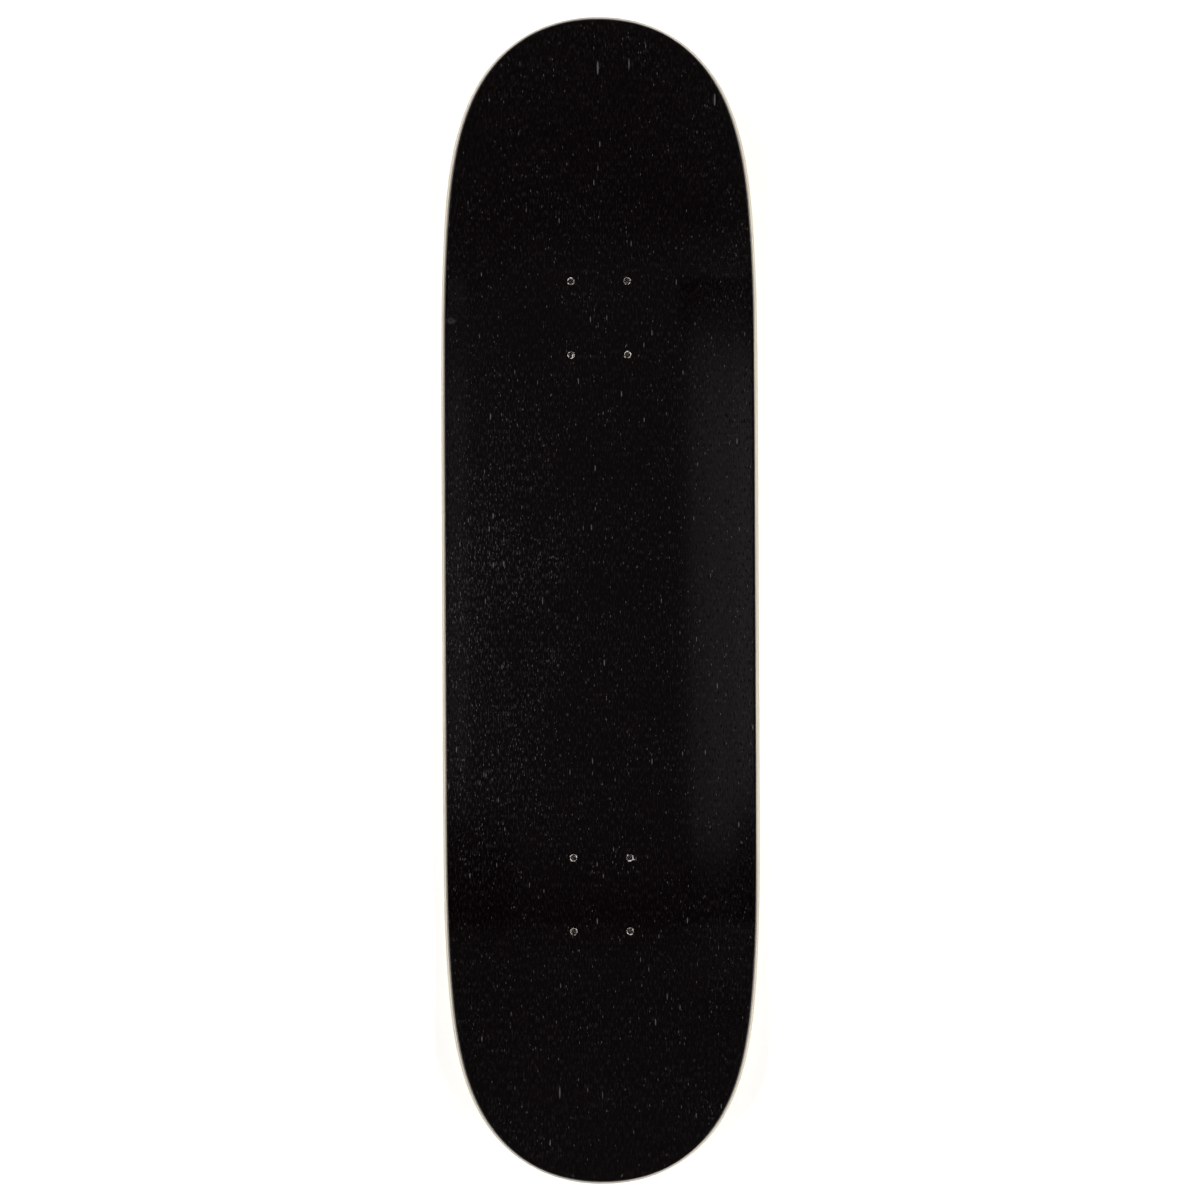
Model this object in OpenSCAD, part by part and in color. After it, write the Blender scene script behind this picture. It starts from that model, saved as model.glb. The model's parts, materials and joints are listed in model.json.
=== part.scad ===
// Double-kick skateboard deck, bare, as it is sold before trucks and grip are fitted.
// Seven rotary-cut maple veneers are glued face to face and pressed into one curved board:
// a flat centre strip, rails that curl up along both sides, and a kick at each end.
// X runs across the board, Y runs along it with the nose at +Y, and Z is up.
// The origin is under the middle of the board, on the surface it lies on.

/* [Outline] */
// Width of the board across its straight sides
deck_w = 232; // [220:1:250]
// Nose, from its outer bolt holes to the tip, measured in plan
nose_reach = 184; // [165:1:195]
// Tail, from its outer bolt holes to the tip, measured in plan
tail_reach = 176; // [158:1:190]
// Fullness of the tips: 2 is an oval end, and more is squarer
tip_fullness = 2.08; // [1.9:0.02:2.6]
// Fullness of the sides: more keeps them straight for longer
side_fullness = 6.9; // [4:0.1:9]

/* [Truck bolt holes] */
// Distance between the two inner pairs of holes
wheelbase = 368.3; // [355.6:6.35:381]
// Spacing of a truck's holes across the board
hole_gap_x = 41.275; // [41.275]
// Spacing of a truck's holes along the board
hole_gap_y = 53.975; // [53.975, 63.5]
// Diameter of each hole
hole_d = 5.5; // [5:0.1:6]

/* [Bends] */
// Rise of the nose and of the tail over the run below
kick_rise = 44; // [35:1:50]
// Run along the board over which a kick rises that much
kick_run = 117; // [110:1:125]
// Bend radius of the underside where a kick starts
kick_r = 131; // [100:1:160]
// Flat stretch between a truck's outer holes and its kick
kick_gap = 7; // [4:1:15]
// Width of the flat strip along the middle of the board
flat_w = 92; // [70:2:110]
// Bend radius of the underside where the rails curl up
rail_r = 200; // [180:5:260]

/* [Lay-up] */
// Thickness of one veneer
ply_t = 1.5; // [1.3:0.05:1.6]
// Thickness of the glue line between two veneers
glue_t = 0.1; // [0.08:0.01:0.2]
// Thickness of the black coat on the top face
coat_t = 0.15; // [0.1:0.01:0.2]
// Radius that rounds the board's edge, above and below
edge_r = 1.8; // [1:0.1:3]

/* [Hidden] */

$fn = 180;

outline_steps = 45;

kick_angle = atan2(kick_rise, kick_run);
ply_count = 7;
ply_pitch = ply_t + glue_t;
wood_t = ply_count * ply_pitch - glue_t;

// Plan distances from the middle of the wheelbase
outer_hole_y = wheelbase / 2 + hole_gap_y;
nose_y = outer_hole_y + nose_reach;
tail_y = outer_hole_y + tail_reach;
kick_y = outer_hole_y + kick_gap;
// The origin is under the middle of the board's whole length
wheelbase_mid_y = (tail_y - nose_y) / 2;

// Sheets are made this much wider than the board and then cut to its outline
trim = 4;
rail_angle = asin(((deck_w - flat_w) / 2 + trim) / (rail_r - wood_t - coat_t));
// Taller than the tip of either kick
cutter_h = 120;
cutter_below = 10;

maple = "BurlyWood";
crossband_maple = "Tan";
glue_amber = "Peru";
coat_black = "#16120f";

// How far in from the outermost edge the surface lies at height h in the lay-up.
// The edge stands square to the curved board, so it leans in by about the kick's angle.
function edge_u(h) =
    let (d = min(h, wood_t - h, edge_r))
    sqrt(edge_r ^ 2 - (edge_r - d) ^ 2) - edge_r;
function edge_x(h) = edge_u(h) * cos(kick_angle) - h * sin(kick_angle);
outermost_x = edge_r * (1 - cos(kick_angle) - sin(kick_angle));
function edge_inset(h) = outermost_x - edge_x(h);

// A point of one end's outline, turned from 0 on the side to 90 at the tip.
// It lies on (x / half the width) ^ tip_fullness + (y / tip_y) ^ side_fullness = 1,
// moved straight in from that curve by the inset.
function outline_point(turn, tip_y, inset) =
    let (
        half_w = deck_w / 2,
        across = cos(turn) ^ (2 / tip_fullness),
        along = sin(turn) ^ (2 / side_fullness),
        slope = [
            tip_fullness * across ^ (tip_fullness - 1) / half_w,
            side_fullness * along ^ (side_fullness - 1) / tip_y
        ]
    )
    [half_w * across, tip_y * along] - inset * slope / norm(slope);

// The whole outline, anticlockwise from the right-hand side
module outline(inset) {
    step = 90 / outline_steps;
    right_nose = [for (i = [0:outline_steps]) outline_point(i * step, nose_y, inset)];
    right_tail = [for (i = [outline_steps:-1:1]) outline_point(i * step, tail_y, inset)];
    polygon(concat(
        right_nose,
        [for (i = [outline_steps - 1:-1:0]) [-right_nose[i].x, right_nose[i].y]],
        [for (i = [outline_steps - 1:-1:0]) [-right_tail[i].x, -right_tail[i].y]],
        [for (i = [1:outline_steps - 1]) [right_tail[i].x, -right_tail[i].y]]
    ));
}

// The board's cross-section between two heights in the lay-up
module cross_section(low, high) {
    reach = rail_r + trim;
    translate([-flat_w / 2, low])
        square([flat_w, high - low]);
    for (side = [-1, 1])
        translate([side * flat_w / 2, rail_r])
            intersection() {
                difference() {
                    circle(rail_r - low);
                    circle(rail_r - high);
                }
                polygon([[0, 0], [0, -reach], [side * reach * tan(rail_angle), -reach]]);
            }
}

module straight_run(length, low, high) {
    translate([0, length])
        rotate([90, 0, 0])
            linear_extrude(length)
                cross_section(low, high);
}

// The bend is turned further than it needs and then cut off square to the kick
module kick(reach, low, high) {
    translate([0, kick_y, kick_r]) {
        rotate([0, 90, 0])
            intersection() {
                rotate_extrude(angle = 45)
                    translate([kick_r, 0])
                        rotate(90)
                            cross_section(low, high);
                linear_extrude(2 * deck_w, center = true)
                    polygon([[0, 0], [kick_run, -kick_run], 2 * [kick_run, kick_rise]]);
            }
        rotate([kick_angle, 0, 0])
            translate([0, 0, -kick_r])
                straight_run(reach, low, high);
    }
}

module sheet(low, high) {
    translate([0, -kick_y])
        straight_run(2 * kick_y, low, high);
    kick(nose_reach, low, high);
    mirror([0, 1, 0])
        kick(tail_reach, low, high);
}

module bolt_holes() {
    for (end = [-1, 1], row = [0, 1], side = [-1, 1])
        translate([side * hole_gap_x / 2, end * (wheelbase / 2 + row * hole_gap_y), -cutter_below])
            cylinder(h = cutter_h, d = hole_d, $fn = 48);
}

// One layer of the board between two heights, cut to the outline and drilled
module layer(low, high, inset) {
    translate([0, wheelbase_mid_y])
        difference() {
            intersection() {
                sheet(low, high);
                translate([0, 0, -cutter_below])
                    linear_extrude(cutter_h)
                        outline(inset);
            }
            bolt_holes();
        }
}

// Veneers are counted from 0 at the underside, and glue line 1 lies on veneer 0
module veneer(index) {
    low = index * ply_pitch;
    layer(low, low + ply_t, edge_inset(low + ply_t / 2));
}

module glue_line(index) {
    low = index * ply_pitch - glue_t;
    color(glue_amber)
        layer(low, low + glue_t, edge_inset(low + glue_t / 2));
}

module bottom_face() {
    color(maple)
        veneer(0);
}

module bottom_core() {
    color(maple)
        veneer(1);
}

module bottom_crossband() {
    color(crossband_maple)
        veneer(2);
}

module middle_core() {
    color(maple)
        veneer(3);
}

module top_crossband() {
    color(crossband_maple)
        veneer(4);
}

module top_core() {
    color(maple)
        veneer(5);
}

module top_face() {
    color(maple)
        veneer(6);
}

// The coat stops where the edge's rounding starts
module black_coat() {
    color(coat_black)
        layer(wood_t, wood_t + coat_t, edge_inset(wood_t));
}

bottom_face();
bottom_core();
bottom_crossband();
middle_core();
top_crossband();
top_core();
top_face();
for (index = [1:ply_count - 1])
    glue_line(index);
black_coat();
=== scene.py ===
import json
import math

import bpy
import numpy as np
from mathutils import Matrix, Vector
from mathutils.geometry import delaunay_2d_cdt


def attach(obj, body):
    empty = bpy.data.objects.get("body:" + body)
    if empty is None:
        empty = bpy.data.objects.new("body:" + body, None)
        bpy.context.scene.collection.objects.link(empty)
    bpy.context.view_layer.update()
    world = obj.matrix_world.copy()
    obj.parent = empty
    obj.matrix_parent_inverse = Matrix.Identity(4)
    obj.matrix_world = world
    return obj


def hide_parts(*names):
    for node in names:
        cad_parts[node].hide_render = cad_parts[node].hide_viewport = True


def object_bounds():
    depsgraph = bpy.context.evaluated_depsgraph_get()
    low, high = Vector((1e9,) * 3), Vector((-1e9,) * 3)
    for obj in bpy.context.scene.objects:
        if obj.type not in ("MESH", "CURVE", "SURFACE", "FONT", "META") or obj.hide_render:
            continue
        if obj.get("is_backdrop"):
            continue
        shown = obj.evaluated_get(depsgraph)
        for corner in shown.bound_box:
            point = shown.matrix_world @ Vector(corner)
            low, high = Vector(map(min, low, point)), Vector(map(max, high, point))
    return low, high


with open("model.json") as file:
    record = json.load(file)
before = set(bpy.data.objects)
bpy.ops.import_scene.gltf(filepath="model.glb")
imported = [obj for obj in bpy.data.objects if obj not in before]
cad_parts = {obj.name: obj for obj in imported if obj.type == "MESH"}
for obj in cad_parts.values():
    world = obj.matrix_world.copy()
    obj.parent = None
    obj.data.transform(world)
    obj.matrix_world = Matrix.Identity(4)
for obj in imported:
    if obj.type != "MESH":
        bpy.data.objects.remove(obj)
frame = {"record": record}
cad_low, cad_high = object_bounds()

# The design's own sizes, in metres. Places come from the frame.
PLY_COUNT = 7
PLY_T = 0.0015
GLUE_T = 0.0001
COAT_T = 0.00015
PLY_PITCH = PLY_T + GLUE_T
WOOD_T = PLY_COUNT * PLY_PITCH - GLUE_T
EDGE_R = 0.0018
KICK_ANGLE = math.atan2(44, 117)
KICK_R = 0.131
KICK_GAP = 0.007
FLAT_HALF = 0.046
RAIL_R = 0.2
TIP_FULLNESS = 2.08
SIDE_FULLNESS = 6.9

mounts = {mount["name"]: mount for mount in frame["record"]["mounts"]}
front_mount = mounts["front_truck_holes"]
rear_mount = mounts["rear_truck_holes"]
HOLE_R = front_mount["dims"]["hole_r_mm"] / 1000
HOLE_GAP_X = front_mount["dims"]["spacing_x_mm"] / 1000
HOLE_GAP_Y = front_mount["dims"]["spacing_y_mm"] / 1000
MID_Y = (front_mount["pos_m"][1] + rear_mount["pos_m"][1]) / 2
KICK_Y = front_mount["pos_m"][1] - MID_Y + HOLE_GAP_Y / 2 + KICK_GAP

# Half the width and the two tips, measured from the middle of the wheelbase
half_w = cad_high[0]
nose_y = cad_high[1] - MID_Y
tail_y = MID_Y - cad_low[1]

HOLES = [
    (side * HOLE_GAP_X / 2, mount["pos_m"][1] + row * HOLE_GAP_Y / 2)
    for mount in (front_mount, rear_mount)
    for row in (1, -1)
    for side in (-1, 1)
]

OUTLINE_POINTS = 880
HOLE_POINTS = 48
HOLE_ANGLES = np.linspace(0, 2 * math.pi, HOLE_POINTS, endpoint=False)
FINE_GRID = 0.004
HIDDEN_GRID = 0.016
# Shares of a grid's spacing
CLEAR_OF_RING = 0.6
CLEAR_OF_HOLE = 0.35


# ---------- the board's curved surfaces ----------

def underside(xy):
    """Points and upward normals of the underside at plan points xy."""
    x = xy[:, 0]
    y = xy[:, 1] - MID_Y
    along = np.abs(y)
    curl = np.arcsin(np.maximum(np.abs(x) - FLAT_HALF, 0) / RAIL_R)
    rise = RAIL_R * (1 - np.cos(curl))
    radius = KICK_R - rise
    sine = np.clip((along - KICK_Y) / radius, 0, math.sin(KICK_ANGLE))
    turn = np.arcsin(sine)
    run = np.maximum(along - KICK_Y - radius * sine, 0) * math.tan(KICK_ANGLE)
    z = KICK_R - radius * np.cos(turn) + run
    points = np.column_stack([x, xy[:, 1], z])
    normals = np.column_stack([
        -np.sign(x) * np.sin(curl),
        -np.sign(y) * np.sin(turn) * np.cos(curl),
        np.cos(turn) * np.cos(curl),
    ])
    return points, normals


def outline_quarter(tip_y, inset, steps=1500):
    """One right-hand quarter of the outline, from the side to the tip, y above 0."""
    turn = np.linspace(0, math.pi / 2, steps)
    across = np.cos(turn).clip(0) ** (2 / TIP_FULLNESS)
    along = np.sin(turn) ** (2 / SIDE_FULLNESS)
    slope = np.column_stack([
        TIP_FULLNESS * across ** (TIP_FULLNESS - 1) / half_w,
        SIDE_FULLNESS * along ** (SIDE_FULLNESS - 1) / tip_y,
    ])
    slope /= np.linalg.norm(slope, axis=1)[:, None]
    return np.column_stack([half_w * across, tip_y * along]) - inset * slope


def evenly_spaced(loop, count):
    """A closed loop sampled again at count equal steps along its length."""
    closed = np.vstack([loop, loop[:1]])
    steps = np.linalg.norm(np.diff(closed, axis=0), axis=1)
    length = np.concatenate([[0], np.cumsum(steps)])
    wanted = np.linspace(0, length[-1], count, endpoint=False)
    return np.column_stack([np.interp(wanted, length, closed[:, k]) for k in (0, 1)])


def outline_loop(inset):
    """The whole outline, anticlockwise from the right-hand side."""
    nose = outline_quarter(nose_y, inset)
    tail = outline_quarter(tail_y, inset) * [1, -1]
    loop = np.vstack([nose, nose[-2::-1] * [-1, 1], (tail * [-1, 1])[1:], tail[-2:0:-1]])
    return evenly_spaced(loop, OUTLINE_POINTS) + [0, MID_Y]


# The edge stands square to the board. Its foot lies a little outside the widest outline.
WIDEST = EDGE_R * (1 - math.cos(KICK_ANGLE) - math.sin(KICK_ANGLE))
FOOT = outline_loop(WIDEST)
foot_points, foot_normals = underside(FOOT)
foot_run = np.roll(foot_points, -1, axis=0) - np.roll(foot_points, 1, axis=0)
foot_out = np.cross(foot_run, foot_normals)
foot_out /= np.linalg.norm(foot_out, axis=1)[:, None]


EDGE_STEPS = 10
rounding = EDGE_R * (1 - np.cos(np.linspace(0, math.pi / 2, EDGE_STEPS + 1)))
ROUNDING_HEIGHTS = np.concatenate([rounding, WOOD_T - rounding[::-1]])


def edge_in(height):
    """How far the rounded edge draws in at a height in the lay-up."""
    depth = min(height, WOOD_T - height, EDGE_R)
    return EDGE_R - math.sqrt(max(EDGE_R ** 2 - (EDGE_R - depth) ** 2, 0))


def edge_ring(height, draw_in):
    """The ring of points at a height in the lay-up, drawn in from the board's edge."""
    upward = np.broadcast_to(height, len(FOOT))[:, None]
    inward = np.broadcast_to(draw_in, len(FOOT))[:, None]
    return foot_points + foot_normals * upward - foot_out * inward


def rounding_ring(angle, thickness):
    """The ring at an angle round the edge's upper rounding, 0 at the face, that far off the wood."""
    reach = EDGE_R + thickness
    return edge_ring(WOOD_T - EDGE_R + reach * np.cos(angle), EDGE_R - reach * np.sin(angle))


def plan_ring(draw_in):
    """The underside's ring in plan, drawn in from the board's edge."""
    return (foot_points - foot_out * np.broadcast_to(draw_in, len(FOOT))[:, None])[:, :2]


# ---------- layers ----------

def wander(count, seed, waves):
    """A smooth closed random curve between about -1 and 1, with the given wave counts."""
    rng = np.random.default_rng(seed)
    angle = np.linspace(0, 2 * math.pi, count, endpoint=False)
    total = sum(np.sin(k * angle + rng.uniform(0, 2 * math.pi)) * rng.uniform(0.4, 1) for k in waves)
    return total / np.sqrt(len(waves))


def hole_loop(hole, radius):
    """Points round a hole. radius is one number, or one for each point."""
    outward = np.column_stack([np.cos(HOLE_ANGLES), np.sin(HOLE_ANGLES)])
    return np.array(hole) + outward * np.reshape(radius, (-1, 1))


def sheet_mesh(ring, hole_loops, spacing):
    """Triangles that fill the ring around the holes. Returns plan points and faces; the
    ring's points come first, then each hole's. Inner points keep clear of every border."""
    loops = [ring] + hole_loops
    xs = np.arange(-half_w, half_w, spacing) + spacing / 2
    ys = np.arange(-tail_y, nose_y, spacing) + spacing / 2 + MID_Y
    grid = np.array([(x, y) for y in ys for x in xs])
    inside = points_inside(grid, ring, spacing * CLEAR_OF_RING)
    for hole, loop in zip(HOLES, hole_loops):
        reach = np.linalg.norm(loop - hole, axis=1).max() + spacing * CLEAR_OF_HOLE
        inside &= np.linalg.norm(grid - hole, axis=1) > reach
    points = np.vstack(loops + [grid[inside]])
    ends = np.cumsum([len(loop) for loop in loops])
    borders = [list(range(end - len(loop), end)) for end, loop in zip(ends, loops)]
    # Output type 2 keeps the triangles inside the outer border and outside the holes
    made = delaunay_2d_cdt([Vector(p) for p in points], [], borders, 2, 1e-7)
    if len(made[0]) != len(points):
        raise RuntimeError("the sheet's triangles needed new points")
    triangles = []
    for face in made[2]:
        a, b, c = (points[i] for i in face)
        flipped = (b[0] - a[0]) * (c[1] - a[1]) - (b[1] - a[1]) * (c[0] - a[0]) < 0
        triangles.append(list(face)[::-1] if flipped else list(face))
    return points, triangles


def points_inside(points, ring, margin):
    """Which points lie inside the ring by more than the margin, by its even-odd crossings."""
    nxt = np.roll(ring, -1, axis=0)
    inside = np.zeros(len(points), bool)
    clear = np.ones(len(points), bool)
    for a, b in zip(ring, nxt):
        spans = (a[1] > points[:, 1]) != (b[1] > points[:, 1])
        if spans.any():
            cross_x = a[0] + (points[spans, 1] - a[1]) / (b[1] - a[1]) * (b[0] - a[0])
            inside[spans] ^= points[spans, 0] < cross_x
        clear &= np.hypot(points[:, 0] - a[0], points[:, 1] - a[1]) > margin
    return inside & clear


def bridge(lower, upper):
    """Quads between two closed rings of equal length, facing out when both run anticlockwise."""
    count = len(lower)
    return [(lower[k], lower[(k + 1) % count], upper[(k + 1) % count], upper[k]) for k in range(count)]


class Sheet:
    """One surface of a layer: its plan triangles, lifted to a height in the lay-up."""

    def __init__(self, ring_in, hole_radii, spacing):
        hole_loops = [hole_loop(hole, radius) for hole, radius in zip(HOLES, hole_radii)]
        plan, self.triangles = sheet_mesh(plan_ring(ring_in), hole_loops, spacing)
        self.base, self.normals = underside(plan)

    def lifted(self, height):
        return self.base + self.normals * height


# A sheet's border lies a little further in than the edge's rounding
SHEET_IN = EDGE_R + 0.0006
round_holes = [HOLE_R] * len(HOLES)
hidden_sheet = Sheet(SHEET_IN, round_holes, HIDDEN_GRID)
fine_sheet = Sheet(SHEET_IN, round_holes, FINE_GRID)


def straight_hole(k):
    """A straight hole has no rings between its two ends."""
    return []


def layer_object(name, low, high, bottom, top, edge_rows, hole_rows=straight_hole):
    """A closed layer. bottom and top are Sheets, edge_rows the rings between them from the
    bottom up, and hole_rows(k) the rings of hole k from the bottom up."""
    vertices = []
    faces = []

    def add(points):
        first = sum(len(block) for block in vertices)
        vertices.append(points)
        return list(range(first, first + len(points)))

    lower = add(bottom.lifted(low))
    upper = add(top.lifted(high))
    faces += [tuple(lower[i] for i in reversed(face)) for face in bottom.triangles]
    faces += [tuple(upper[i] for i in face) for face in top.triangles]
    rings = [lower[:len(FOOT)]] + [add(row) for row in edge_rows] + [upper[:len(FOOT)]]
    for below, above in zip(rings, rings[1:]):
        faces += bridge(below, above)
    for k in range(len(HOLES)):
        first = len(FOOT) + k * HOLE_POINTS
        rings = [lower[first:first + HOLE_POINTS]]
        rings += [add(row) for row in hole_rows(k)]
        rings += [upper[first:first + HOLE_POINTS]]
        for below, above in zip(rings, rings[1:]):
            faces += [face[::-1] for face in bridge(below, above)]
    mesh = bpy.data.meshes.new(name)
    mesh.from_pydata(np.vstack(vertices).tolist(), [], faces)
    mesh.validate()
    mesh.shade_smooth()
    mesh.set_sharp_from_angle(angle=math.radians(40))
    piece = bpy.data.objects.new(name, mesh)
    bpy.context.collection.objects.link(piece)
    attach(piece, "root")
    return piece


def edge_heights(low, high):
    """Heights of the edge's rings in one layer, in even steps round the rounded edge."""
    clear = GLUE_T / 5
    within = (ROUNDING_HEIGHTS > low + clear) & (ROUNDING_HEIGHTS < high - clear)
    return [low, *ROUNDING_HEIGHTS[within], high]


def plain_layer(name, low, high, bottom, top, hole_rows=straight_hole):
    """A layer whose edge is its share of the board's rounded edge."""
    rows = [edge_ring(height, edge_in(height)) for height in edge_heights(low, high)]
    return layer_object(name, low, high, bottom, top, rows, hole_rows)


# ---------- materials ----------

class Nodes:
    """Short calls for building one material's node tree."""

    def __init__(self, name):
        self.material = bpy.data.materials.new(name)
        self.material.use_nodes = True
        self.tree = self.material.node_tree
        self.shader = self.tree.nodes["Principled BSDF"]

    def node(self, kind, **settings):
        made = self.tree.nodes.new(kind)
        for key, value in settings.items():
            setattr(made, key, value)
        return made

    def link(self, source, target):
        self.tree.links.new(source, target)

    def feed(self, socket, value):
        if isinstance(value, bpy.types.NodeSocket):
            self.link(value, socket)
        else:
            socket.default_value = value

    def place(self, scale, offset=(0, 0, 0)):
        """The object's own coordinates, stretched per axis."""
        coordinates = self.node("ShaderNodeTexCoord")
        mapping = self.node("ShaderNodeMapping")
        mapping.inputs["Scale"].default_value = scale
        mapping.inputs["Location"].default_value = offset
        self.link(coordinates.outputs["Object"], mapping.inputs["Vector"])
        return mapping.outputs["Vector"]

    def noise(self, vector, scale, detail=3.0, roughness=0.5, distortion=0.0):
        made = self.node("ShaderNodeTexNoise")
        self.link(vector, made.inputs["Vector"])
        made.inputs["Scale"].default_value = scale
        made.inputs["Detail"].default_value = detail
        made.inputs["Roughness"].default_value = roughness
        made.inputs["Distortion"].default_value = distortion
        return made.outputs["Fac"]

    def voronoi(self, vector):
        """The distance to the nearest of the scattered points, and that point's random colour."""
        made = self.node("ShaderNodeTexVoronoi")
        self.link(vector, made.inputs["Vector"])
        made.inputs["Scale"].default_value = 1
        return made.outputs["Distance"], made.outputs["Color"]

    def math(self, operation, *values):
        made = self.node("ShaderNodeMath", operation=operation)
        for socket, value in zip(made.inputs, values):
            self.feed(socket, value)
        return made.outputs["Value"]

    def ramp(self, value, low, high, out_low=0.0, out_high=1.0):
        """value taken from low..high to out_low..out_high, clamped and smoothed."""
        made = self.node("ShaderNodeMapRange", interpolation_type="SMOOTHSTEP")
        self.feed(made.inputs["Value"], value)
        limits = {"From Min": low, "From Max": high, "To Min": out_low, "To Max": out_high}
        for name, number in limits.items():
            self.feed(made.inputs[name], number)
        return made.outputs["Result"]

    def mix(self, factor, first, second):
        made = self.node("ShaderNodeMix", data_type="RGBA")
        self.feed(made.inputs["Factor"], factor)
        for socket, value in ((made.inputs["A"], first), (made.inputs["B"], second)):
            self.feed(socket, value if isinstance(value, bpy.types.NodeSocket) else (*value, 1))
        return made.outputs["Result"]

    def separate(self, vector):
        made = self.node("ShaderNodeSeparateXYZ")
        self.link(vector, made.inputs["Vector"])
        return made.outputs

    def length(self, vector):
        made = self.node("ShaderNodeVectorMath", operation="LENGTH")
        self.link(vector, made.inputs[0])
        return made.outputs["Value"]

    def away_from(self, centre, reach):
        """How far a place on the board is from a centre, 1 on the ellipse that reaches that far."""
        scale = (1 / reach[0], 1 / reach[1], 0)
        offset = (-centre[0] / reach[0], -centre[1] / reach[1], 0)
        return self.length(self.place(scale, offset))

    def bump(self, height, distance):
        made = self.node("ShaderNodeBump")
        self.link(height, made.inputs["Height"])
        made.inputs["Distance"].default_value = distance
        made.inputs["Strength"].default_value = 0.5
        self.link(made.outputs["Normal"], self.shader.inputs["Normal"])


def coat_material():
    """Glossy black coat on open-grained maple: its pores show as pale dashes along the board."""
    n = Nodes("black_coat")
    place = n.place((1, 1, 1))

    def dashes(width, length, offset, share):
        """How pale the dashes are: one to a stretched cell, in a share of the cells."""
        distance, chance = n.voronoi(n.place((1 / width, 1 / length, 1), offset))
        chosen, size, pale = n.separate(chance)
        shown = n.math("LESS_THAN", chosen, share)
        body = n.ramp(distance, n.ramp(size, 0, 1, 0.16, 0.3), n.ramp(size, 0, 1, 0.1, 0.2))
        return n.math("MULTIPLY", n.math("MULTIPLY", body, shown), n.math("POWER", pale, 2.5))

    cloudy = n.noise(place, 22, 3)
    # The pale pores are most plentiful in a patch towards the left rail. That patch is a painted glint
    # of the light from the left on the pores.
    glint_patch = n.away_from((-0.085, -0.03), (0.075, 0.19))
    pore_share_and_glint = n.ramp(glint_patch, 1.25, 0.2, 0.3, 1.2)
    pore_share_and_glint = n.math("MULTIPLY", pore_share_and_glint, n.ramp(cloudy, 0.3, 0.7, 0.4, 1.0))
    small = dashes(0.0008, 0.0036, (0, 0, 0), pore_share_and_glint)
    large = dashes(0.0015, 0.0090, (7.3, 1.9, 0), n.math("MULTIPLY", pore_share_and_glint, 0.3))
    along = n.math("ABSOLUTE", n.separate(place)[1])
    scuffs = dashes(0.0028, 0.02, (3.1, 5.7, 0), n.ramp(along, 0.28, 0.4, 0.01, 0.06))
    # Between the clear dashes lies a weave of fainter and finer ones, paler too in the painted glint
    # patch
    weave_scale = (1 / 0.0009, 1 / 0.0042, 1)
    weave = n.noise(n.place(weave_scale), 1, 1)
    faint = n.math("MULTIPLY", n.ramp(weave, 0.5, 0.82, 0, 0.16), n.math("ADD", pore_share_and_glint, 0.15))
    clear = n.math("MINIMUM", n.math("ADD", n.math("ADD", small, large), scuffs), 1)
    pores = n.math("ADD", n.math("MULTIPLY", clear, 0.55), faint)
    # One faint scrape crosses the left rail beside the front holes
    scrape = n.away_from((-0.1085, 0.2045), (0.006, 0.0032))
    worn = n.math("MULTIPLY", n.ramp(scrape, 1, 0.3), n.ramp(weave, 0.35, 0.6, 0, 0.14))
    pores = n.math("MAXIMUM", pores, worn)

    streaks = n.noise(n.place((900, 90, 1)), 1, 2)
    black = n.mix(n.ramp(streaks, 0.3, 0.7), (0.0005, 0.0001, 0.0002), (0.0012, 0.0004, 0.0005))
    n.link(n.mix(pores, black, (0.094, 0.09, 0.09)), n.shader.inputs["Base Color"])
    # Glossy, but dull in the weave's gaps, and duller from just before each kick to its tip
    gaps = n.noise(n.place(weave_scale, (5.2, 8.4, 0)), 1, 1)
    dull = n.math("ADD", n.ramp(gaps, 0.52, 0.75, 0, 0.4), n.ramp(along, 0.231, 0.25, 0, 0.34))
    n.link(n.math("ADD", dull, n.ramp(cloudy, 0.3, 0.75, 0.09, 0.13)), n.shader.inputs["Roughness"])
    n.bump(n.math("SUBTRACT", gaps, pores), 0.00004)
    return n.material


def around_holes(n):
    """1 in the middle of the board, where the bolt holes are, and 0 along its edge."""
    x, y, _ = n.separate(n.place((1, 1, 1)))
    return n.math("MULTIPLY", n.math("LESS_THAN", n.math("ABSOLUTE", x), 0.03),
                  n.math("LESS_THAN", n.math("ABSOLUTE", y), 0.26))


def spray_and_left_shade(n, normal, fibres, near_holes):
    """How black the edge is: the coat's spray has drifted onto it, all of it where the rounding
    still looks up. On the left the black reaches further down the edge as painted shade, and beside
    the kicks it also reaches further down than elsewhere. Round the bolt holes the torn fibres have
    caught the spray in patches."""
    x, y, _ = n.separate(n.place((1, 1, 1)))
    side, along = n.math("ABSOLUTE", x), n.math("ABSOLUTE", y)
    # Painted shade: on the left side the edge's black reaches further down
    left = n.ramp(x, 0.02, -0.02, 0, 0.3)
    beside_kicks = n.math("MULTIPLY", n.ramp(along, 0.17, 0.24, 0, 0.35), n.ramp(side, 0.06, 0.09))
    upward = n.math("ADD", n.separate(normal)[2], n.math("ADD", left, beside_kicks))
    patchy = n.math("ADD", upward, n.math("MULTIPLY", fibres, 0.14))
    torn = n.noise(n.place((1, 1, 1)), 700, 2)
    return n.mix(near_holes, n.ramp(patchy, 0.15, 0.92), n.ramp(torn, 0.4, 0.6, 0.25, 1))


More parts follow.
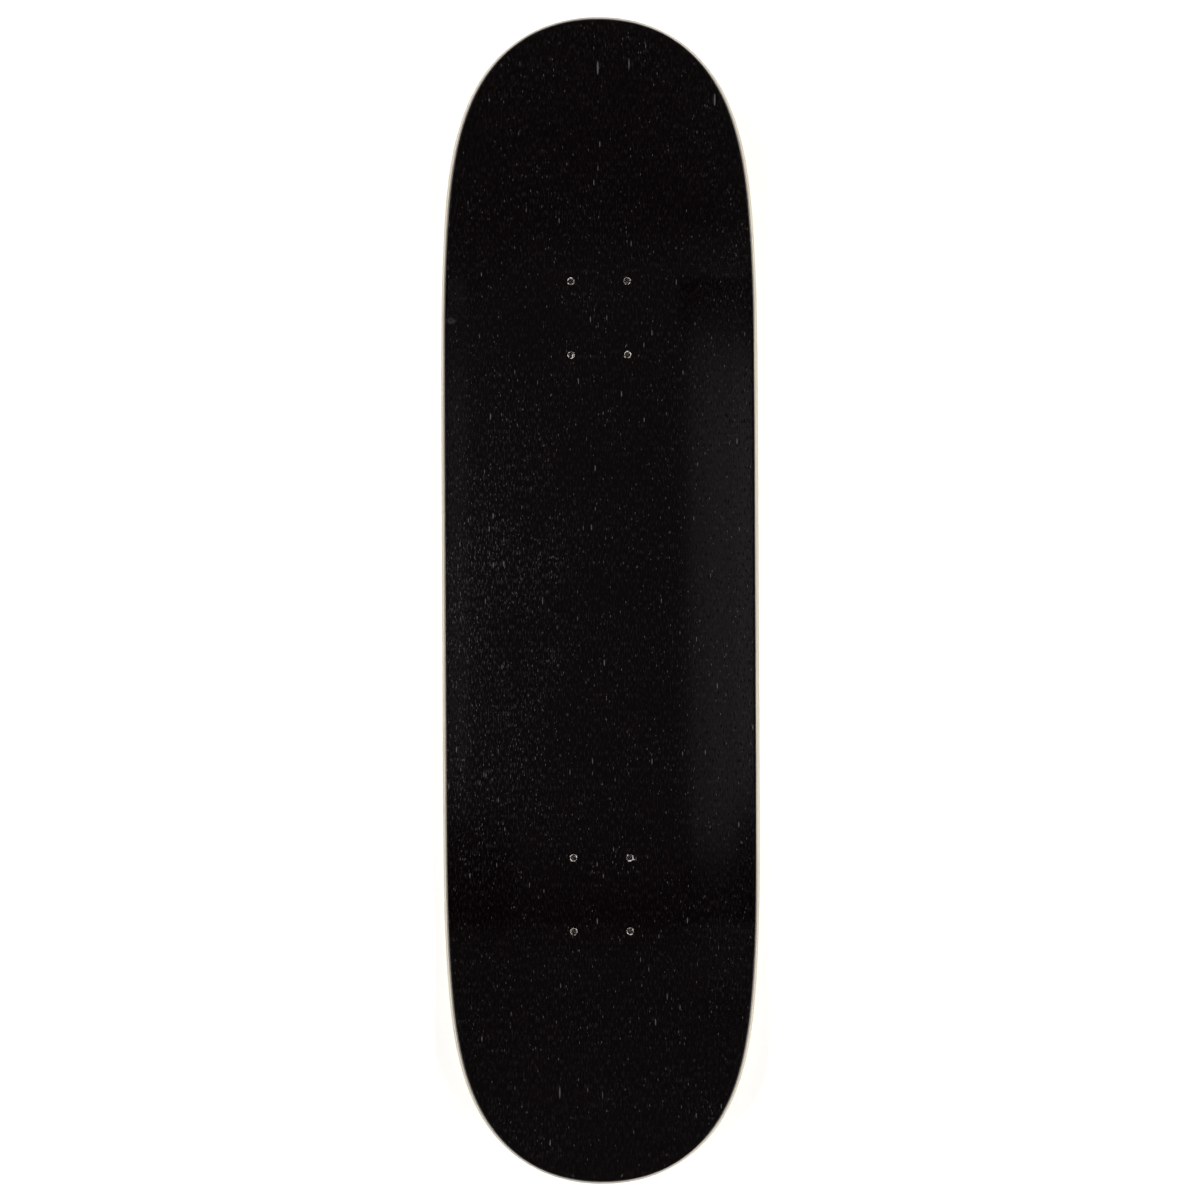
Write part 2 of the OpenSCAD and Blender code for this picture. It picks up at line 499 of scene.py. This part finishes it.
def wood_material(name, along, long_pale, long_dark, end_pale, end_dark, sprayed_and_shaded=0):
    """Sealed rotary-cut maple. along is the grain's axis, 0 across and 1 along the board.
    Faces that look along the grain show its cut ends instead of its length. The last argument is how
    much of the black on the board's edge, drifted spray and painted shade on the left side, gets as
    far down as this veneer. Round the bolt holes such a veneer shows pale torn fibres."""
    n = Nodes(name)

    def grain_place(across_scale, along_scale, offset=(0, 0, 0)):
        scale = [across_scale, across_scale, across_scale]
        scale[along] = along_scale
        return n.place(scale, offset)

    figure = n.noise(grain_place(42, 3), 1, 4, 0.55, 1.2)
    fibres = n.noise(grain_place(900, 22), 1, 3)
    long_grain = n.mix(n.ramp(figure, 0.35, 0.65), long_pale, long_dark)
    long_grain = n.mix(n.ramp(fibres, 0.45, 0.8, 0, 0.35), long_grain, end_dark)
    flecks, fleck_colour = n.voronoi(grain_place(1100, 160, (3, 5, 2)))
    fleck_here = n.math("MULTIPLY", n.math("LESS_THAN", flecks, 0.22),
                        n.math("LESS_THAN", n.separate(fleck_colour)[0], 0.5))
    long_grain = n.mix(n.math("MULTIPLY", fleck_here, 0.3), long_grain, end_dark)

    ends, _ = n.voronoi(n.place((3200, 3200, 3200)))
    end_grain = n.mix(n.ramp(ends, 0.15, 0.6), end_dark, end_pale)
    geometry = n.node("ShaderNodeNewGeometry")
    facing = n.math("ABSOLUTE", n.separate(geometry.outputs["Normal"])[along])
    wood = n.mix(n.ramp(facing, 0.55, 0.9), long_grain, end_grain)

    if sprayed_and_shaded:
        near_holes = around_holes(n)
        # The edge's black is drifted spray, and on the left painted shade
        blackened_edge = spray_and_left_shade(n, geometry.outputs["Normal"], fibres, near_holes)
        wood = n.mix(near_holes, wood, TORN_FIBRES)
        wood = n.mix(n.math("MULTIPLY", blackened_edge, sprayed_and_shaded), wood, SPRAY_AND_SHADE_BLACK)
    n.link(wood, n.shader.inputs["Base Color"])
    n.link(n.ramp(figure, 0.3, 0.7, 0.42, 0.55), n.shader.inputs["Roughness"])
    n.bump(fibres, 0.00004)
    return n.material


def glue_material():
    """Hardened wood glue, slightly mottled."""
    n = Nodes("glue")
    beads = n.noise(n.place((300, 300, 900)), 1, 3)
    amber = n.mix(n.ramp(beads, 0.35, 0.7), (0.24, 0.18, 0.11), (0.38, 0.30, 0.20))
    n.link(amber, n.shader.inputs["Base Color"])
    n.shader.inputs["Roughness"].default_value = 0.45
    n.bump(beads, 0.00002)
    return n.material


def floor_material(glow_from=None, glow_to=None):
    """Pale and plain. Between the two distances from the middle it turns to an even white glow."""
    n = Nodes("backdrop" if glow_from else "floor")
    soft = n.noise(n.place((3, 3, 3)), 1, 2)
    n.link(n.mix(soft, (0.92, 0.92, 0.92), (0.94, 0.94, 0.94)), n.shader.inputs["Base Color"])
    n.shader.inputs["Roughness"].default_value = 0.9
    n.shader.inputs["Specular IOR Level"].default_value = 0.1
    if glow_from:
        glow = n.ramp(n.length(n.place((1, 1, 0))), glow_from, glow_to)
        n.link(glow, n.shader.inputs["Emission Strength"])
        n.shader.inputs["Emission Color"].default_value = (1, 1, 1, 1)
        n.material.cycles.emission_sampling = "NONE"
    return n.material


coat = coat_material()
# Pale and dark along the grain, then pale and dark across its cut ends
MAPLE_TONES = ((0.465, 0.425, 0.34), (0.405, 0.36, 0.28), (0.36, 0.315, 0.24), (0.25, 0.205, 0.155))
CROSSBAND_TONES = ((0.43, 0.385, 0.31), (0.37, 0.325, 0.25), (0.31, 0.27, 0.21), (0.21, 0.175, 0.13))
# The bare underside is warmer and paler than the edge
CLEAR_TONES = ((0.60, 0.50, 0.36), (0.48, 0.385, 0.26), (0.42, 0.34, 0.24), (0.30, 0.24, 0.17))
TORN_FIBRES = (0.6, 0.57, 0.55)
# The edge's black, for drifted spray and for painted shade on the left
SPRAY_AND_SHADE_BLACK = (0.006, 0.0045, 0.0035)
maple = wood_material("maple", 1, *MAPLE_TONES)
clear_maple = wood_material("clear_maple", 1, *CLEAR_TONES)
crossband = wood_material("crossband_maple", 0, *CROSSBAND_TONES)
# The top three veneers, each less blackened than the one above it by drifted spray and by painted
# shade on the left
top_maple = wood_material("top_maple", 1, *MAPLE_TONES, sprayed_and_shaded=1)
dusted_shaded_maple = wood_material("dusted_shaded_maple", 1, *MAPLE_TONES, sprayed_and_shaded=0.9)
dusted_shaded_crossband = wood_material("dusted_shaded_crossband_maple", 0, *CROSSBAND_TONES, sprayed_and_shaded=0.6)
glue = glue_material()

# ---------- the layers themselves ----------

VENEERS = [
    ("bottom_face", clear_maple), ("bottom_core", maple), ("bottom_crossband", crossband),
    ("middle_core", maple), ("top_crossband", dusted_shaded_crossband), ("top_core", dusted_shaded_maple),
    ("top_face", top_maple),
]

# Drilling has torn the top veneer: pale fibres lean into each hole, and round it the coat is
# chipped away. The hole is straight up to TORN_DEPTH below the face.
CHIP_R = 0.0027
LIP_R = 0.0021
LIP_DEPTH = 0.00045
TORN_DEPTH = 0.0009
RAGGED_BY = 0.0002
RAGGED = (2, 3, 5, 8, 13)
# The torn wood starts a little inside the coat's broken rim
LEDGE = 0.0001


def lobe(towards, width):
    """1 in one direction round a hole, falling to 0 at the width on either side. Degrees."""
    away = np.abs((np.degrees(HOLE_ANGLES) - towards + 180) % 360 - 180)
    return np.clip(1 - away / width, 0, 1)


chip_radii = [CHIP_R + RAGGED_BY * wander(HOLE_POINTS, 50 + k, RAGGED) for k in range(len(HOLES))]
lip_radii = [LIP_R + RAGGED_BY * wander(HOLE_POINTS, 80 + k, RAGGED) for k in range(len(HOLES))]
# One splinter reaches well into its hole, and one chip well out across the face
lip_radii[2] -= 0.0018 * lobe(-8, 55)
chip_radii[5] += 0.0016 * lobe(-24, 16)
crater_sheet = Sheet(SHEET_IN, [radius - LEDGE for radius in chip_radii], FINE_GRID)


def crater_rows(k):
    """The top veneer's hole: straight, in under the leaning fibres, then out to the torn face."""
    middle = (lip_radii[k] + chip_radii[k]) / 2
    rows = []
    for depth, radius in ((TORN_DEPTH, HOLE_R), (LIP_DEPTH, lip_radii[k]), (LIP_DEPTH * 0.6, middle)):
        ring = hole_loop(HOLES[k], radius)
        rows.append(np.column_stack([ring, np.full(HOLE_POINTS, WOOD_T - depth)]))
    return rows


def dress(piece, material, node):
    """Give a piece its material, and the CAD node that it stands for."""
    piece.data.materials.append(material)
    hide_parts(node)


for index, (name, material) in enumerate(VENEERS):
    low = index * PLY_PITCH
    high = low + PLY_T
    if name == "top_face":
        piece = plain_layer("veneer_" + name, low, high, hidden_sheet, crater_sheet, crater_rows)
    elif name == "bottom_face":
        piece = plain_layer("veneer_" + name, low, high, fine_sheet, hidden_sheet)
    else:
        piece = plain_layer("veneer_" + name, low, high, hidden_sheet, hidden_sheet)
    dress(piece, material, name)

for index in range(1, PLY_COUNT):
    high = index * PLY_PITCH
    piece = plain_layer(f"glue_film_{index}", high - GLUE_T, high, hidden_sheet, hidden_sheet)
    dress(piece, glue, f"glue_line_{index}")

# The coat runs a little way over the edge's rounding, and thins out there
COAT_END = 50
COAT_END_WAVE = 7
COAT_THINNING = 0.85
wave = wander(OUTLINE_POINTS, 7, (3, 7, 19, 41, 83, 160))
coat_end = np.radians(COAT_END + COAT_END_WAVE * wave)
steps_out = np.linspace(0, 1, 6)
coat_rows = [rounding_ring(coat_end * step, 0) for step in steps_out]
coat_rows += [
    rounding_ring(coat_end * step, COAT_T * (1 - COAT_THINNING * step ** 2))
    for step in steps_out[::-1]
]
coat_sheet = Sheet(SHEET_IN, chip_radii, FINE_GRID)
coat_top = WOOD_T + COAT_T
top_coat = layer_object("top_coat", WOOD_T, coat_top, coat_sheet, coat_sheet, coat_rows)
dress(top_coat, coat, "black_coat")


# ---------- floor, light and camera ----------

def area_light(name, place, size, radiance, target=None):
    """A rectangular light that faces the target, or straight down."""
    lamp = bpy.data.lights.new(name, "AREA")
    lamp.shape = "RECTANGLE"
    lamp.size, lamp.size_y = size
    lamp.energy = radiance * math.pi * size[0] * size[1]
    light = bpy.data.objects.new(name, lamp)
    light.location = place
    if target:
        light.rotation_euler = (Vector(place) - Vector(target)).to_track_quat("Z", "Y").to_euler()
    light.visible_camera = False
    bpy.context.collection.objects.link(light)
    return light


def ring_band(rings, segments=96):
    """Vertices and faces of a band of revolution through the (radius, height) rings."""
    turn = np.linspace(0, 2 * math.pi, segments, endpoint=False)
    vertices = [(r * math.cos(t), r * math.sin(t), z) for r, z in rings for t in turn]
    faces = []
    for row in range(len(rings) - 1):
        inner = list(range(row * segments, (row + 1) * segments))
        outer = [k + segments for k in inner]
        faces += [face[::-1] for face in bridge(inner, outer)]
    return vertices, faces


def stage_object(name, vertices, faces, material):
    """A part of the stage, which is no piece of the board."""
    mesh = bpy.data.meshes.new(name)
    mesh.from_pydata(vertices, [], faces)
    mesh.shade_smooth()
    mesh.materials.append(material)
    made = bpy.data.objects.new(name, mesh)
    bpy.context.collection.objects.link(made)
    made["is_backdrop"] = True
    return made


# A flat floor that runs out into a backdrop, which sweeps up all round. The backdrop is only
# for the camera to see: it neither lights the board nor shows in its reflections.
FLOOR_R = 1.0
SWEEP_START = 3.2
SWEEP_R = 2.0
BACKDROP_TOP = 5.0
GLOW_FULL = 2.6
floor_points, floor_faces = ring_band([(FLOOR_R / 2, 0), (FLOOR_R, 0)])
floor_middle = tuple(range(len(floor_points) // 2))
stage_object("floor", floor_points, floor_faces + [floor_middle], floor_material())
sweep_rings = [
    (SWEEP_START + SWEEP_R * math.sin(t), SWEEP_R * (1 - math.cos(t)))
    for t in np.linspace(0, math.pi / 2, 13)
]
backdrop_rings = [
    (FLOOR_R, 0), (1.6, 0), (2.4, 0), *sweep_rings, (SWEEP_START + SWEEP_R, BACKDROP_TOP),
]
backdrop = stage_object("backdrop", *ring_band(backdrop_rings), floor_material(FLOOR_R, GLOW_FULL))
backdrop.visible_diffuse = False
backdrop.visible_glossy = False
backdrop.visible_shadow = False

# Softboxes that light the floor and the wood, low at both sides and high at both sides. They leave
# the view straight down the bolt holes dark, and are kept out of the coat's reflections.
for name, place, size, radiance in (
    ("low_left", (-2.2, 0.3, 0.75), (2.4, 0.9), 5),
    ("low_right", (2.2, -0.1, 0.75), (2.4, 0.9), 6),
    ("high_left", (-1.6, 0.2, 2.4), (2.8, 0.9), 10.2),
    ("high_right", (1.6, 0, 2.4), (2.8, 0.9), 9.4),
):
    softbox = area_light(name, place, size, radiance, target=(0, 0, 0))
    softbox.visible_glossy = False
# Dim panels overhead for the glossy coat to reflect, brighter towards both sides
PANEL_Z = 3.0
for name, (x_low, x_high), (y_low, y_high), radiance in (
    ("ceiling", (-0.28, 0.45), (-0.50, 1.1), 0.054),
    ("ceiling_end", (-0.7, 0.7), (1.1, 1.75), 0.13),
    ("left_panel_1", (-0.5, -0.28), (-0.45, 0.47), 0.08),
    ("left_panel_2", (-0.9, -0.5), (-0.45, 0.47), 0.172),
    ("left_panel_3", (-1.6, -0.9), (-0.45, 0.47), 0.225),
    ("left_panel_4", (-2.4, -1.6), (-0.40, 0.485), 0.29),
    ("right_panel_1", (0.45, 1.0), (-0.42, 0.66), 0.063),
    ("right_panel_2", (1.0, 1.55), (-0.42, 0.6), 0.069),
    ("right_panel_3", (1.55, 2.4), (-0.40, 0.485), 0.145),
    ("right_panel_4", (1.55, 2.4), (0.555, 0.67), 0.17),
):
    middle = ((x_low + x_high) / 2, (y_low + y_high) / 2, PANEL_Z)
    area_light(name, middle, (x_high - x_low, y_high - y_low), radiance)
# A dim glow all round, so that the coat's gloss shows from the sides
GLOW_AWAY = 2.6
GLOW_Z = 0.85
for name, x, y in (
    ("left_glow", -1, 0),
    ("right_glow", 1, 0),
    ("nose_glow", 0, 1),
    ("tail_glow", 0, -1),
):
    place = (x * GLOW_AWAY, y * GLOW_AWAY, GLOW_Z)
    area_light(name, place, (4.2, 1.3), 0.2, target=(0, 0, GLOW_Z))

world = bpy.data.worlds.new("studio")
bpy.context.scene.world = world
world.use_nodes = True
background = world.node_tree.nodes["Background"]
background.inputs["Color"].default_value = (1, 1, 1, 1)
background.inputs["Strength"].default_value = 0.006

# Straight overhead, as the photograph is taken, with the nose at the top of the picture. The
# board lies a little off the picture's middle there, and is turned by a fraction of a degree.
CAMERA_HEIGHT = 2.16
CAMERA_X = -0.00035
CAMERA_PAST_MID = 0.0046
CAMERA_TURN = -0.27
VIEW_WIDTH = 0.8786
camera_data = bpy.data.cameras.new("camera")
camera_data.sensor_width = 36
camera_data.lens = camera_data.sensor_width * CAMERA_HEIGHT / VIEW_WIDTH
camera = bpy.data.objects.new("camera", camera_data)
camera.location = (CAMERA_X, MID_Y + CAMERA_PAST_MID, WOOD_T + COAT_T + CAMERA_HEIGHT)
camera.rotation_euler = (0, 0, math.radians(CAMERA_TURN))
bpy.context.collection.objects.link(camera)
bpy.context.scene.camera = camera
bpy.context.scene.view_settings.view_transform = "Standard"

low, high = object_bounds()
